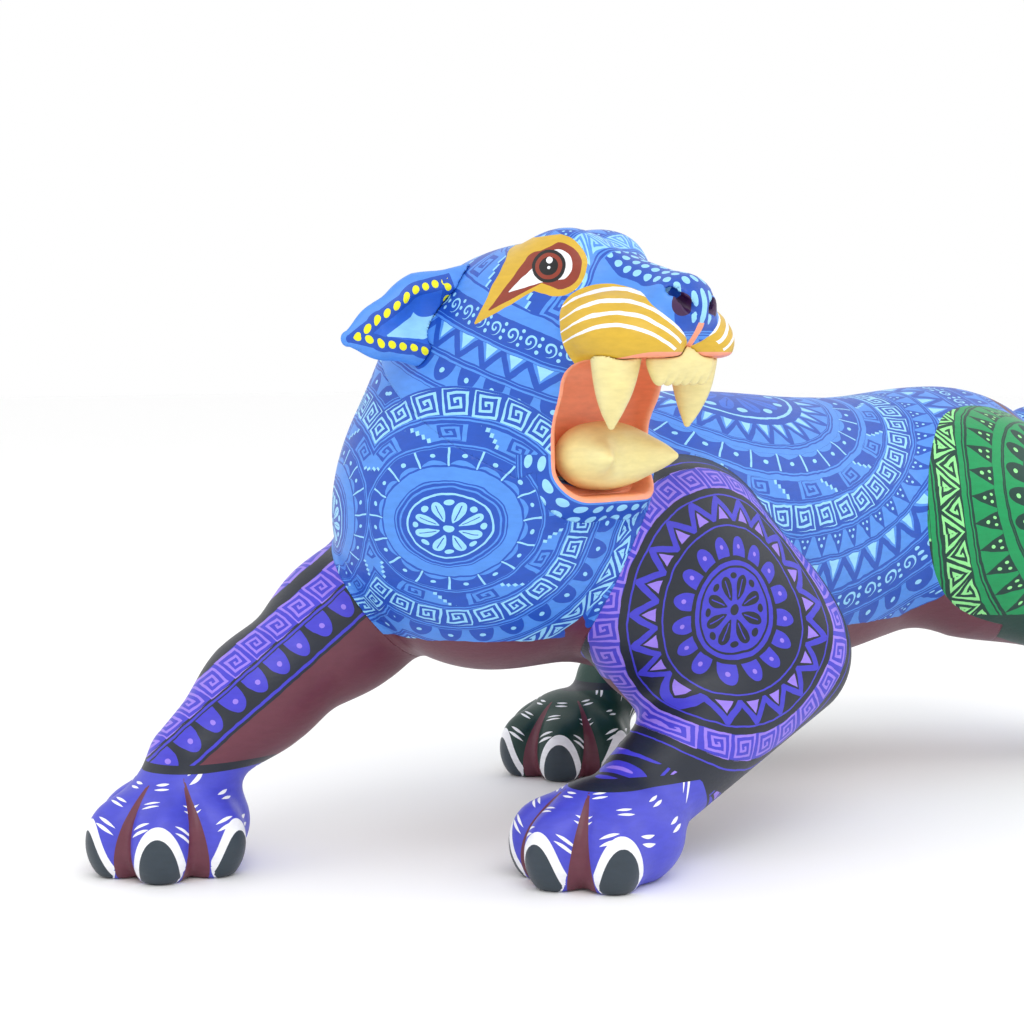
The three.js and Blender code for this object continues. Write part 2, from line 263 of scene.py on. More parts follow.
def mouth_field(p):
    """The open mouth: a block with rounded edges, wider in front, between the lips."""
    q = near_side(p)
    aside = (HEAD_X - q[..., 0]) * (1 - 0.006 * np.clip(-60 - q[..., 1], 0, 60))
    away = np.stack([aside, np.abs(q[..., 1] + 112), np.abs(q[..., 2] - 170)], -1)
    over_edge = away - (np.array([24.5, 60.0, 25.5]) - 10)
    outer = np.linalg.norm(np.maximum(over_edge, 0), axis=-1)
    return outer + np.minimum(over_edge.max(-1), 0) - 10


def paw_place(points, name):
    """Points in a paw's own frame: x ahead, z up, from the middle of its sole."""
    (x, y), heading = PAWS[name]
    return (points - np.array([x, y, 0.0])) @ turn_z(heading)


def paw_field(p, name):
    q = paw_place(p, name)
    palm = egg(q, (-5, 0, 17), (29, 26, 22))
    toes = []
    for spread in TOE_SPREAD:
        a = math.radians(spread)
        toes.append(egg(q, (19 * math.cos(a), 18 * math.sin(a), 13), (15, 12.5, 17), turn_z(spread)))
    d = join(palm, joined(toes, 3), 5)
    for spread in GROOVE_SPREAD:
        a = math.radians(spread)
        line = [(16 * math.cos(a) - 2, 15 * math.sin(a), 38),
                (31 * math.cos(a) - 1, 29 * math.sin(a), 20),
                (36 * math.cos(a), 34 * math.sin(a), -5)]
        d = cut(d, rods(q, line, [0.5, 3, 5], 2), 3)
    return cut(d, q[..., 2], 1.5)


def foreleg_left_field(p):
    shoulder = egg(p, (-92, -46, 104), (52, 32, 51))
    elbow = egg(p, (-58, -58, 86), (38, 24, 36))
    forearm = rod(p, (-50, -66, 74), (-134, -67, 30), 28, 19.5)
    return join(joined([shoulder, elbow, forearm], 15), paw_field(p, "foreleg_left"), 9)


def foreleg_right_field(p):
    line = [(-152, 38, 114), (-190, 47, 89), (-226, 55, 64), (-256, 60, 40)]
    return join(rods(p, line, [32, 26, 21, 17], 12), paw_field(p, "foreleg_right"), 9)


def shank_field(p, name):
    return rods(p, SHANKS[name], SHANK_RADII, 12)


def hind_leg_field(p, name, side):
    haunch = egg(p, (HAUNCH_X, 32 * side, 117), HAUNCH_HALF)
    leg = join(haunch, shank_field(p, name), 20)
    return join(leg, paw_field(p, name), 9)


LEG_FIELDS = {
    "foreleg_left": inside((-195, -106, 0), (-20, -10, 158), foreleg_left_field),
    "foreleg_right": inside((-308, 5, 0), (-115, 105, 150), foreleg_right_field),
    "hind_leg_left": inside((60, -120, 0), (250, 16, 180),
                            lambda p: hind_leg_field(p, "hind_leg_left", -1)),
    "hind_leg_right": inside((-60, -16, 0), (210, 128, 180),
                             lambda p: hind_leg_field(p, "hind_leg_right", 1)),
}
skull_near = inside((-200, -118, 135), (-110, 20, 245), skull_field)
mouth_near = inside((-215, -175, 135), (-97, -45, 200), mouth_field)


def peg(p, seat, out, size, outwards, extra=0.0):
    """A peg through a seat, or with extra its hole; outwards is how far it reaches beyond the seat."""
    return pin(p, seat - out * (size["length"] + extra), seat + out * outwards, size["radius"] + extra)


def solid_body_field(p):
    """The whole animal without tail, ears and teeth, before holes are bored in it."""
    q = near_side(p)
    d = stem_field(p)
    d = join(d, skull_near(p), 12)
    for field in LEG_FIELDS.values():
        d = join(d, field(p), 9)
    d = cut(d, mouth_near(p), 2.5)
    d = cut(d, rod(q, (HEAD_X - 5, -111, 213), (HEAD_X - 9, -104, 218), 1.8, 3.0), 2)
    return cut(d, rod(q, (HEAD_X, -113, 209), (HEAD_X, -108, 190), 1.0, 1.6), 2)


def body_field(p):
    d = solid_body_field(p)
    d = np.maximum(d, -peg(near_side(p), EAR_SEAT, EAR_OUT, EAR_PEG, 12, GAP))
    return np.maximum(d, -peg(p, TAIL_ROOT, TAIL_OUT, TAIL_PEG, 25, GAP))


# ---- from a field to a mesh

BLOCK = 16


def mesh_of(field, low, high, spacing):
    """Surface nets: one point in each grid cell that the surface crosses, then moved onto the surface."""
    low = np.asarray(low, float)
    counts = np.ceil((np.asarray(high, float) - low) / spacing / BLOCK).astype(int)
    centres = [low[i] + spacing * (np.arange(counts[i]) * BLOCK + (BLOCK - 1) / 2) for i in range(3)]
    coarse = field(np.stack(np.meshgrid(*centres, indexing="ij"), -1).reshape(-1, 3)).reshape(tuple(counts))
    grid = np.where(coarse < 0, -FAR, FAR).astype(np.float32)
    for axis in range(3):
        grid = np.repeat(grid, BLOCK, axis)
    reach = spacing * BLOCK * 0.5 * math.sqrt(3) * 1.3 + 4
    busy = np.argwhere(np.abs(coarse) < reach)
    offsets = np.stack(np.meshgrid(*[np.arange(BLOCK)] * 3, indexing="ij"), -1).reshape(-1, 3)
    for start in range(0, len(busy), 48):
        index = (busy[start:start + 48, None, :] * BLOCK + offsets[None]).reshape(-1, 3)
        grid[tuple(index.T)] = field(low + spacing * index)
    points, cells = net_points(grid)
    number = np.full(grid.shape, -1, np.int32)
    number[tuple(cells.T)] = np.arange(len(cells))
    quads = net_faces(grid < 0, number)
    triangles = np.vstack([quads[:, [0, 1, 2]], quads[:, [0, 2, 3]]])
    return settled(field, low + spacing * points, spacing), triangles


def net_points(grid):
    corners = np.array([(i, j, k) for i in (0, 1) for j in (0, 1) for k in (0, 1)])
    below = grid < 0
    nx, ny, nz = grid.shape
    total = np.zeros((nx - 1, ny - 1, nz - 1), np.int8)
    for i, j, k in corners:
        total += below[i:nx - 1 + i, j:ny - 1 + j, k:nz - 1 + k]
    cells = np.argwhere((total > 0) & (total < 8))
    values = np.stack([grid[tuple((cells + c).T)] for c in corners], 1)
    place = np.zeros((len(cells), 3))
    hits = np.zeros(len(cells))
    for a in range(8):
        for b in range(a + 1, 8):
            if np.abs(corners[a] - corners[b]).sum() != 1:
                continue
            crossed = (values[:, a] < 0) != (values[:, b] < 0)
            t = values[crossed, a] / (values[crossed, a] - values[crossed, b])
            place[crossed] += corners[a] + t[:, None] * (corners[b] - corners[a])
            hits[crossed] += 1
    return cells + place / hits[:, None], cells


def net_faces(below, number):
    found = []
    for axis in range(3):
        u, v = (axis + 1) % 3, (axis + 2) % 3
        first, second = [slice(1, -1)] * 3, [slice(1, -1)] * 3
        first[axis], second[axis] = slice(0, -1), slice(1, None)
        starts = below[tuple(first)]
        edges = np.argwhere(starts != below[tuple(second)])
        leaving = starts[tuple(edges.T)]
        base = edges.copy()
        base[:, [u, v]] += 1

        def cell(du, dv):
            at = base.copy()
            at[:, u] -= du
            at[:, v] -= dv
            return number[tuple(at.T)]

        quads = np.stack([cell(1, 1), cell(0, 1), cell(0, 0), cell(1, 0)], 1)
        quads[~leaving] = quads[~leaving][:, ::-1]
        found.append(quads)
    quads = np.vstack(found)
    return quads[(quads >= 0).all(1)]


def settled(field, points, spacing):
    step = 0.05
    value = field(points)
    slopes = [(field(points + step * np.eye(3)[i]) - value) / step for i in range(3)]
    slope = np.stack(slopes, -1)
    size = np.maximum((slope * slope).sum(-1), 0.2)
    move = -(value / size)[:, None] * slope
    length = np.linalg.norm(move, axis=1)[:, None]
    return points + move * np.minimum(1, 0.7 * spacing / np.maximum(length, 1e-9))


def split(points, triangles, side):
    """Cuts a mesh along the line where side is zero, into the part below zero and the part above."""
    side = np.where(np.abs(side) < 1e-4, 1e-4, side)
    negative = side < 0
    count = negative[triangles].sum(1)
    crossed = triangles[(count == 1) | (count == 2)]
    lone = np.where((negative[crossed].sum(1) == 1)[:, None], negative[crossed], ~negative[crossed])
    first = lone.argmax(1)
    rows = np.arange(len(crossed))
    a, b, c = (crossed[rows, (first + k) % 3] for k in range(3))
    pairs = np.sort(np.vstack([np.column_stack([a, b]), np.column_stack([a, c])]), axis=1)
    unique, where = np.unique(pairs, axis=0, return_inverse=True)
    where = where.reshape(-1)
    t = side[unique[:, 0]] / (side[unique[:, 0]] - side[unique[:, 1]])
    fresh = points[unique[:, 0]] + t[:, None] * (points[unique[:, 1]] - points[unique[:, 0]])
    ab = len(points) + where[:len(a)]
    ac = len(points) + where[len(a):]
    tips = np.column_stack([a, ab, ac])
    bases = np.vstack([np.column_stack([ab, b, c]), np.column_stack([ab, c, ac])])
    tip_below = negative[a]
    below = np.vstack([triangles[count == 3], tips[tip_below], bases[np.tile(~tip_below, 2)]])
    above = np.vstack([triangles[count == 0], tips[~tip_below], bases[np.tile(tip_below, 2)]])
    return np.vstack([points, fresh]), below, above


def biggest(points, triangles):
    """The faces of the largest connected stretch of a mesh, and the rest."""
    label = np.arange(len(points))
    while True:
        low = label[triangles].min(1)
        fresh = label.copy()
        np.minimum.at(fresh, triangles.reshape(-1), np.repeat(low, 3))
        fresh = fresh[fresh]
        if (fresh == label).all():
            break
        label = fresh
    names, sizes = np.unique(label[triangles[:, 0]], return_counts=True)
    main = label[triangles[:, 0]] == names[sizes.argmax()]
    return triangles[main], triangles[~main]


def rims(triangles):
    """The open edges of a mesh, as closed rings of points."""
    edges = np.vstack([triangles[:, [0, 1]], triangles[:, [1, 2]], triangles[:, [2, 0]]])
    known = set(map(tuple, edges.tolist()))
    follow = {b: a for a, b in known if (b, a) not in known}
    rings = []
    while follow:
        start, at = follow.popitem()
        ring = [start]
        while at != start:
            ring.append(at)
            at = follow.pop(at)
        rings.append(ring)
    return rings


def capped(points, triangles, inset):
    """Closes each open ring with a wall to a smaller ring, which inset places, and a flat middle."""
    first_cap = len(triangles)
    for ring in rims(triangles):
        ring = np.array(ring)
        inner = inset(points[ring])
        start = len(points)
        points = np.vstack([points, inner, inner.mean(0)])
        n = len(ring)
        following = np.roll(np.arange(n), -1)
        wall = np.vstack([
            np.column_stack([ring, ring[following], start + following]),
            np.column_stack([ring, start + following, start + np.arange(n)]),
        ])
        middle = np.column_stack([start + np.arange(n), start + following, np.full(n, start + n)])
        triangles = np.vstack([triangles, wall, middle])
    return points, triangles, first_cap


def onto_plane(at, facing, shrink=0.86):
    """An inset that draws a ring together and lays it on a plane."""
    at, facing = np.asarray(at, float), np.asarray(facing, float)

    def inset(ring):
        middle = ring.mean(0)
        drawn = middle + (ring - middle) * shrink
        return drawn - ((drawn - at) @ facing)[:, None] * facing

    return inset


# ---- ears, teeth and tail

def ear_field(p):
    """The right ear: a leaf, hollowed in front, with its peg."""
    q = (p - EAR_PLACE) @ np.column_stack(EAR_AXES)
    flat = q * np.array([1, 1, 2.6])
    leaf = rods(flat, [(-8, 0, 0), (16, 0, 0), (35, -2, 0), (49, -3, 0)], [19, 16.5, 9.5, 3], 6) / 2.6
    hollow = rods(q, [(3, 0, -13), (18, 0, -12.5), (36, -2, -9.5)], [12, 11.5, 6], 4)
    leaf = np.maximum(cut(leaf, hollow, 1.5), GAP - solid_body_field(p))
    return np.minimum(leaf, peg(p, EAR_SEAT, EAR_OUT, EAR_PEG, 6))


def canine_field(p):
    """The right upper canine."""
    x, y, z = HEAD_X - 21, -89, 198
    line = [(x, y, z + 3), (x - 0.5, y + 0.5, z - 10), (x - 0.5, y + 1.5, z - 19), (x, y + 2.5, z - 27)]
    return np.maximum(horn(p, line, [10, 7.8, 4.9, 1.3]), GAP - solid_body_field(p))


def incisors_field(p):
    teeth = [egg(p, (HEAD_X + 4.6 * (i - 2.5), -101, 194), (3.6, 4.2, 8.5)) for i in range(6)]
    strip = rod(p, (HEAD_X - 10, -101, 195), (HEAD_X + 10, -101, 195), 5.2, 5.2)
    return np.maximum(join(joined(teeth, 2.0), strip, 3), GAP - solid_body_field(p))


def lower_teeth_field(p):
    q = near_side(p)
    cushion = egg(q, (HEAD_X, -63, 159), (20.5, 13, 13))
    line = [(HEAD_X - aside, y, 159) for aside, y in [(10, -63), (13, -70), (16, -77), (18, -83)]]
    canine = horn(q, line, [10, 8.2, 5, 1.5])
    return np.maximum(join(cushion, canine, 5), GAP - solid_body_field(p))


def tail_field(p):
    root = np.array(TAIL_LINE[0]) - 8 * TAIL_OUT
    tail = horn(p, [tuple(root)] + TAIL_LINE[1:], TAIL_RADII)
    tail = np.maximum(tail, GAP - solid_body_field(p))
    return np.minimum(tail, peg(p, TAIL_ROOT, TAIL_OUT, TAIL_PEG, 12))


# ---- the pieces

SEATS = {
    "foreleg_left": (np.array([-92.0, -LEG_SEAT, 104.0]), np.array([0.0, -1.0, 0.0])),
    "foreleg_right": (np.array([-155.0, LEG_SEAT, 108.0]), np.array([0.0, 1.0, 0.0])),
    "hind_leg_left": (np.array([140.0, -LEG_SEAT, 118.0]), np.array([0.0, -1.0, 0.0])),
    "hind_leg_right": (np.array([140.0, LEG_SEAT, 118.0]), np.array([0.0, 1.0, 0.0])),
    "head": (NECK_SEAT, NECK_FACING),
}


def head_side(p):
    """Below zero for what is carved from the head block."""
    above = (p - NECK_SEAT) @ NECK_FACING
    around = np.linalg.norm(p - NECK_SEAT - above[:, None] * NECK_FACING, axis=-1)
    skull = skull_near(p) - stem_field(p)
    return np.minimum(np.maximum(-above, around - NECK_RADIUS), skull + 1)


def seat_inset(lift):
    """Lays each ring on the flat seat nearest to it, lift further along the seat's facing."""
    def inset(ring):
        middle = ring.mean(0)
        at, facing = min(SEATS.values(), key=lambda seat: np.linalg.norm(seat[0] - middle))
        return onto_plane(at + lift * facing, facing)(ring)

    return inset


def leg_side(p, name):
    """Below zero on the leg's side of the line where it meets the body; a haunch has an oval edge."""
    side = LEG_FIELDS[name](p) - stem_field(p)
    if name not in SHANKS:
        return side
    (x, z), (half_x, half_z) = HAUNCH_OVAL
    oval = np.hypot((p[:, 0] - x) / half_x, (p[:, 2] - z) / half_z) - 1
    return np.maximum(side, np.minimum(oval * 50, shank_field(p, name) - 4))


def carve_body():
    """The torso, head and legs: name -> (points, triangles, number of the first seat face)."""
    points, rest = mesh_of(body_field, (-318, -135, -6), (260, 135, 256), GRID)
    found = {}
    sides = {name: lambda p, name=name: leg_side(p, name) for name in LEG_FIELDS}
    sides["head"] = head_side
    for name, side in sides.items():
        points, part, rest = split(points, rest, side(points))
        part, islands = biggest(points, part)
        rest = np.vstack([rest, islands])
        rest, islands = biggest(points, rest)
        found[name] = np.vstack([part, islands])
    found["torso"] = rest
    pieces = {}
    for name, triangles in found.items():
        lift = -GAP if name == "torso" else 0
        used, flat = np.unique(triangles, return_inverse=True)
        pieces[name] = capped(points[used], flat.reshape(-1, 3), seat_inset(lift))
    return pieces


def to_row(points):
    return (points - FLOOR_CENTRE) * MM


def in_scene(name, data):
    thing = bpy.data.objects.new(name, data)
    bpy.context.scene.collection.objects.link(thing)
    return thing


def make(name, points, triangles, material, slot, body="figure", nodes=None, flat_from=None):
    """A mesh object in the row frame that stands for its CAD node."""
    mesh = bpy.data.meshes.new(name)
    mesh.from_pydata(to_row(points).tolist(), [], triangles.tolist())
    smooth = np.ones(len(triangles), bool)
    if flat_from is not None:
        smooth[flat_from:] = False
    mesh.polygons.foreach_set("use_smooth", smooth)
    mesh.materials.append(material)
    mesh.update()
    thing = in_scene(name, mesh)
    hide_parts(*(nodes or [name]))
    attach(thing, body)
    return thing


def give(thing, name, values):
    """A number at each point of a mesh, which the paint reads."""
    attribute = thing.data.attributes.new(name, "FLOAT", "POINT")
    attribute.data.foreach_set("value", np.asarray(values, np.float32))


# ---- arithmetic in shader nodes

def operation(name, swapped=False):
    """A method that adds a maths node with this value as its first input, or as its last."""
    def apply(self, *others):
        values = (*others, self) if swapped else (self, *others)
        return self.paint.math(name, *values)

    return apply


class Value:
    """A number in a material's node tree. Masks are one or zero, so & is a product and | a maximum."""

    def __init__(self, paint, socket):
        self.paint, self.socket = paint, socket

    __add__, __radd__ = operation("ADD"), operation("ADD", True)
    __sub__, __rsub__ = operation("SUBTRACT"), operation("SUBTRACT", True)
    __mul__, __rmul__ = operation("MULTIPLY"), operation("MULTIPLY", True)
    __truediv__ = operation("DIVIDE")
    __lt__, __gt__ = operation("LESS_THAN"), operation("GREATER_THAN")
    __and__, __or__ = operation("MULTIPLY"), operation("MAXIMUM")
    __abs__ = operation("ABSOLUTE")
    low, high = operation("MINIMUM"), operation("MAXIMUM")
    fract, floor = operation("FRACT"), operation("FLOOR")
    near = operation("COMPARE")  # one where this is within the second number of the first

    def __invert__(self):
        return 1.0 - self


def square(v):
    return v * v


class Paint:
    """A material under construction. x, y and z are the hand-wobbled place in the carver's frame, in mm."""

    def __init__(self, name, wobble=1.1):
        self.material = bpy.data.materials.new(name)
        self.material.use_nodes = True
        self.tree = self.material.node_tree
        self.tree.nodes.clear()
        place = self.node("ShaderNodeTexCoord").outputs["Object"]
        self.mm = self.vector("MULTIPLY_ADD", place, (1 / MM,) * 3, tuple(FLOOR_CENTRE))
        shaky = self.noise(0.11, 2.0, "Color")
        shift = self.vector("MULTIPLY_ADD", shaky, (2 * wobble,) * 3, (-wobble,) * 3)
        self.hand = self.vector("ADD", self.mm, shift)
        self.x, self.y, self.z = self.parts(self.hand)

    def node(self, kind, **settings):
        made = self.tree.nodes.new(kind)
        for key, value in settings.items():
            setattr(made, key, value)
        return made

    def put(self, value, socket):
        if isinstance(value, Value):
            value = value.socket
        if isinstance(value, bpy.types.NodeSocket):
            self.tree.links.new(value, socket)
        else:
            socket.default_value = value

    def math(self, operation, *values):
        made = self.node("ShaderNodeMath", operation=operation)
        for value, socket in zip(values, made.inputs):
            self.put(value, socket)
        return Value(self, made.outputs[0])

    def vector(self, operation, *values, out=0):
        made = self.node("ShaderNodeVectorMath", operation=operation)
        for value, socket in zip(values, made.inputs):
            self.put(value, socket)
        return made.outputs[out]

    def parts(self, vector):
        made = self.node("ShaderNodeSeparateXYZ")
        self.put(vector, made.inputs[0])
        return [Value(self, s) for s in made.outputs]

    def noise(self, per_mm, detail, out="Fac"):
        made = self.node("ShaderNodeTexNoise")
        self.put(self.mm, made.inputs["Vector"])
        made.inputs["Scale"].default_value = per_mm
        made.inputs["Detail"].default_value = detail
        return made.outputs[out]

    def attribute(self, name):
        made = self.node("ShaderNodeAttribute", attribute_name=name)
        return Value(self, made.outputs["Fac"])

    def length(self, first, *others):
        return self.math("SQRT", sum(map(square, others), square(first)))

    def distance(self, x, y, z, centre):
        return self.length(*[v - c for v, c in zip((x, y, z), centre)])

    def turns(self, up, across):
        """The direction of (across, up) as a share of a turn, from -0.5 to 0.5."""
        return self.math("ARCTAN2", up, across) / math.tau

    def mix(self, share, first, second):
        made = self.node("ShaderNodeMix", data_type="RGBA")
        self.put(share, made.inputs[0])
        self.put(first, made.inputs[6])
        self.put(second, made.inputs[7])
        return made.outputs[2]

    def choose(self, mask, when_set, otherwise):
        return otherwise + (when_set - otherwise) * mask

    def ramp(self, share, stops):
        made = self.node("ShaderNodeValToRGB")
        made.color_ramp.interpolation = "CONSTANT"
        elements = made.color_ramp.elements
        elements.remove(elements[1])
        for i, (position, colour) in enumerate(stops):
            element = elements[0] if i == 0 else elements.new(position)
            element.position = position
            element.color = colour
        self.put(share, made.inputs[0])
        return made.outputs["Color"], Value(self, made.outputs["Alpha"])

    def finish(self, colour, relief, roughness=0.42, relief_mm=0.12):
        """Satin acrylic over carved wood: faint brush strokes, and paint lines that stand proud."""
        brush = self.node("ShaderNodeTexNoise")
        self.put(self.vector("MULTIPLY", self.mm, (0.5, 0.5, 1.6)), brush.inputs["Vector"])
        brush.inputs["Scale"].default_value = 0.35
        brush.inputs["Detail"].default_value = 5.0
        brush = Value(self, brush.outputs["Fac"])
        grain = Value(self, self.noise(0.9, 3.0))
        tint = self.node("ShaderNodeHueSaturation")
        self.put(brush * 0.3 + 0.79, tint.inputs["Value"])
        self.put(colour, tint.inputs["Color"])
        bump = self.node("ShaderNodeBump")
        bump.inputs["Strength"].default_value = 0.5
        bump.inputs["Distance"].default_value = relief_mm * MM
        self.put(relief + brush * 1.6 + grain * 0.8, bump.inputs["Height"])
        shader = self.node("ShaderNodeBsdfPrincipled")
        shader.inputs["Specular IOR Level"].default_value = 0.45
        self.put(tint.outputs[0], shader.inputs["Base Color"])
        self.put(grain * 0.16 + (roughness - 0.08), shader.inputs["Roughness"])
        self.put(bump.outputs[0], shader.inputs["Normal"])
        output = self.node("ShaderNodeOutputMaterial")
        self.put(shader.outputs[0], output.inputs[0])
        return self.material


# ---- motifs

# Each works in a cell where x and y run from -1 to 1, with y = -1 on the row's inner side, and u counts
# cells along the row. It gives the mask of the ink and the mask of the accent.

def greca(p, x, y, u):
    """A square spiral in each cell."""
    reach = abs(x * 1.08).high(abs(y) * 1.02)
    turn = (reach * 2.35 - p.turns(y, x)).fract()
    return (turn < 0.44) & (reach < 1.0), None


def triangle_spiral(p, x, y, u):
    """Triangles that point in and out by turns, with a spiral in each."""
    pair = (u / 2).fract() * 2 - 1
    outward = abs(pair) < (1 - y) / 2
    across = p.choose(outward, abs(pair), 1 - abs(pair))
    up = p.choose(outward, y, 0 - y) + 1 / 3
    reach = (up * -1.5).high((across * 2 + up) * 0.75)
    side = p.choose(outward, pair, pair + 1)
    turn = (reach * 1.75 - p.turns(up, side)).fract()
    return (turn < 0.5) & (reach < 0.88), None


def petal(p, x, y, u):
    """A dome standing on the inner line, with a dot in it."""
    dome = square(x / 0.78) + square((y + 1) / 1.75)
    return dome < 1.0, square(x) * 1.4 + square(y + 0.15) < 0.045


def zigzag(p, x, y, u):
    """A zigzag line, with a small triangle in each inner bay."""
    line = abs(x) * 1.7 - 0.85
    ink = abs(y - line) < 0.42
    bay = ((1 - abs(x)) * 2.2 + y) < 0.2
    return ink, bay & (y > -0.9)


def dotted_triangle(p, x, y, u):
    half = (1 - y) * 0.44
    low = square(abs(x) - 0.3) + square(y + 0.62)
    top = square(x) + square(y + 0.05)
    return abs(x) < half, (low < 0.016) | (top < 0.022)


def curl(p, x, y, u):
    """A round curl beside a column of dots."""
    away = x + 0.22
    reach = p.length(away, y)
    turn = (reach * 1.9 - p.turns(y, away)).fract()
    hook = (turn < 0.36) & (reach < 0.68)
    row = ((y * 1.6 + 0.5).fract() - 0.5) / 1.6
    column = (square(x - 0.78) + square(row) < 0.03) & (abs(y) < 0.85)
    return y * 0 + 1, hook | column


def fret(p, x, y, u):
    """By turns a block with a stepped side and a square spiral."""
    spiral = (u / 2).fract() < 0.5
    steps = (y * 2.2).floor() / 2.2
    block = (x > steps * 0.62 - 0.2) & (abs(y) < 0.96)
    edge = abs(x - steps * 0.62 + 0.28) < 0.1
    reach = abs(x * 1.3).high(abs(y) * 1.15)
    turn = (reach * 1.9 - p.turns(y, x)).fract()
    ring = (turn < 0.5) & (reach < 0.95)
    return p.choose(spiral, ring, block), edge & ~spiral & (abs(y) < 0.96)


def scallop(p, x, y, u):
    """Segments with a scalloped inner edge, a dot in each and a thin line between them."""
    arc = square(x) * 0.9 + square(y + 1.35)
    seed = square(x) * 1.6 + square(y - 0.15)
    return arc > 0.95, (seed < 0.05) | ((abs(x) > 0.93) & (arc > 0.95))


def lines(p, x, y, u):
    """Two thin lines."""
    return abs(abs(y) - 0.6) < 0.3, None


def line(p, x, y, u):
    return abs(y) < 0.45, None


def dots(p, x, y, u):
    return square(x) + square(y) < 0.42, None


def medallion(p, x, y, u):
    """A flower in a ring; y runs outwards from its middle."""
    reach = (y + 1) / 2
    leaf = (reach - 0.46) / 0.26
    bloom = square(x) * 2.6 + square(leaf) < 1.0
    vein = (abs(x) * reach < 0.03) & (abs(leaf) < 0.7)
    seed = square(abs(x) - 1) * 3 + square(reach - 0.68) * 90 < 0.35
    rim = abs(reach - 0.86) < 0.022
    return (bloom & ~vein) | (reach < 0.11), seed | rim


def strokes(p, x, y, u):
    """A pair of short dashes, one over the other."""
    slim = (1 - square(x) * 5) * 0.26
    return abs(abs(y) - 0.5) < slim, None


def fill(p, x, y, u):
    return y * 0, None


MOTIFS = [fill, greca, triangle_spiral, petal, zigzag, dotted_triangle, curl, fret, scallop, lines, line,
          dots, medallion, strokes]
UNIT = 0.5  # mm; the ramps that hold a table of rows step by this
ROW_WIDTH, ROW_CELLS, IDS = 64.0, 256.0, 16.0


def rgb(red, green, blue):
    """A linear colour from the usual 0 to 255 scale."""
    parts = (((c / 255 + 0.055) / 1.055) ** 2.4 if c > 10 else c / 3294.6 for c in (red, green, blue))
    return (*parts, 1)


class Zone:
    """Rows of motifs: across and along say where a point is, and rows are (mm wide, motif, cells in one
    unit of along, ground, ink, accent), with colours by their place in the palette."""

    def __init__(self, p, across, along, rows):
        stops_a, stops_b, start = [], [], 0
        for width, motif, cells, ground, ink, accent in rows:
            at = max(0, round(start / UNIT) - 0.3) / 255
            first = (start / (255 * UNIT), width / ROW_WIDTH, cells / ROW_CELLS, 1)
            second = (MOTIFS.index(motif) / IDS, ground / IDS, ink / IDS, accent / IDS)
            stops_a.append((at, first))
            stops_b.append((at, second))
            start += width
        share = across / (255 * UNIT)
        self.across, self.along = across, along
        self.first, _ = p.ramp(share, stops_a)
        self.second, self.accent = p.ramp(share, stops_b)
        self.used = {row[1] for row in rows}


def over(p, mask, top, under):
    """Zone top where mask is set, and zone under elsewhere."""
    mixed = Zone.__new__(Zone)
    mixed.across = p.choose(mask, top.across, under.across)
    mixed.along = p.choose(mask, top.along, under.along)
    mixed.first = p.mix(mask, under.first, top.first)
    mixed.second = p.mix(mask, under.second, top.second)
    mixed.accent = p.choose(mask, top.accent, under.accent)
    mixed.used = top.used | under.used
    return mixed


def drawn(p, zone, palette, edge):
    """The colour of a zone, and its relief. Palette entry edge outlines the rows."""
    start, width, cells = (v * s for v, s in zip(p.parts(zone.first), (255 * UNIT, ROW_WIDTH, ROW_CELLS)))
    motif, ground, ink = p.parts(zone.second)
    u = zone.along * cells
    x = u.fract() * 2 - 1
    y = (zone.across - start) / width * 2 - 1
    inks, accents = y * 0, y * 0
    for number, shape in enumerate(MOTIFS):
        if shape is fill or shape not in zone.used:
            continue
        here = (motif * IDS).near(number, 0.5)
        inked, accented = shape(p, x, y, u)
        inks = inks | (here & inked)
        if accented is not None:
            accents = accents | (here & accented)
    stops = [(i / IDS, palette[i] if i < len(palette) else palette[-1]) for i in range(int(IDS))]
    half = 0.5 / IDS
    colour = p.mix(inks, p.ramp(ground + half, stops)[0], p.ramp(ink + half, stops)[0])
    colour = p.mix(accents, colour, p.ramp(zone.accent + half, stops)[0])
    outline = ((1 - abs(y)) * width < 0.85) & (width > 3.9)
    colour = p.mix(outline & ~inks, colour, palette[edge])
    return colour, inks * 0.5 + accents


def coats(p, colour, relief, *layers):
    """Plain colours laid over (colour, relief) in turn, each where its mask is set."""
    for mask, top in layers:
        colour, relief = p.mix(mask, colour, top), relief * ~mask
    return colour, relief


# ---- colours

BLUE, DEEP, SKY, ROYAL = rgb(78, 143, 232), rgb(25, 80, 185), rgb(150, 214, 250), rgb(45, 105, 215)
MAROON, WINE = rgb(105, 50, 65), rgb(62, 26, 72)
VIOLET, LILAC, INK = rgb(65, 60, 200), rgb(150, 122, 230), rgb(25, 32, 46)
GREEN, FOREST, MINT = rgb(0, 150, 85), rgb(5, 60, 50), rgb(150, 240, 150)
OCHRE, RUST, CREAM = rgb(214, 174, 50), rgb(140, 52, 32), rgb(240, 230, 170)
SALMON, FLESH = rgb(255, 166, 134), rgb(255, 164, 124)
FOOT_VIOLET, FOOT_GREEN = rgb(72, 75, 200), rgb(6, 52, 46)
WHITE, YELLOW, SLATE = rgb(245, 246, 250), rgb(238, 236, 20), rgb(48, 60, 70)
BLUES = [BLUE, DEEP, SKY, ROYAL, MAROON]  # a row's colours are places in a palette
VIOLETS = [VIOLET, INK, LILAC, rgb(82, 66, 190), MAROON]
GREENS = [GREEN, FOREST, MINT, rgb(0, 125, 70), MAROON]
BASE, DARK, LIGHT, MIDDLE, UNDER = range(5)


# ---- rows

def band(width, motif, cells, ground=BASE, ink=DARK):
    return (width, motif, cells, ground, ink, LIGHT)


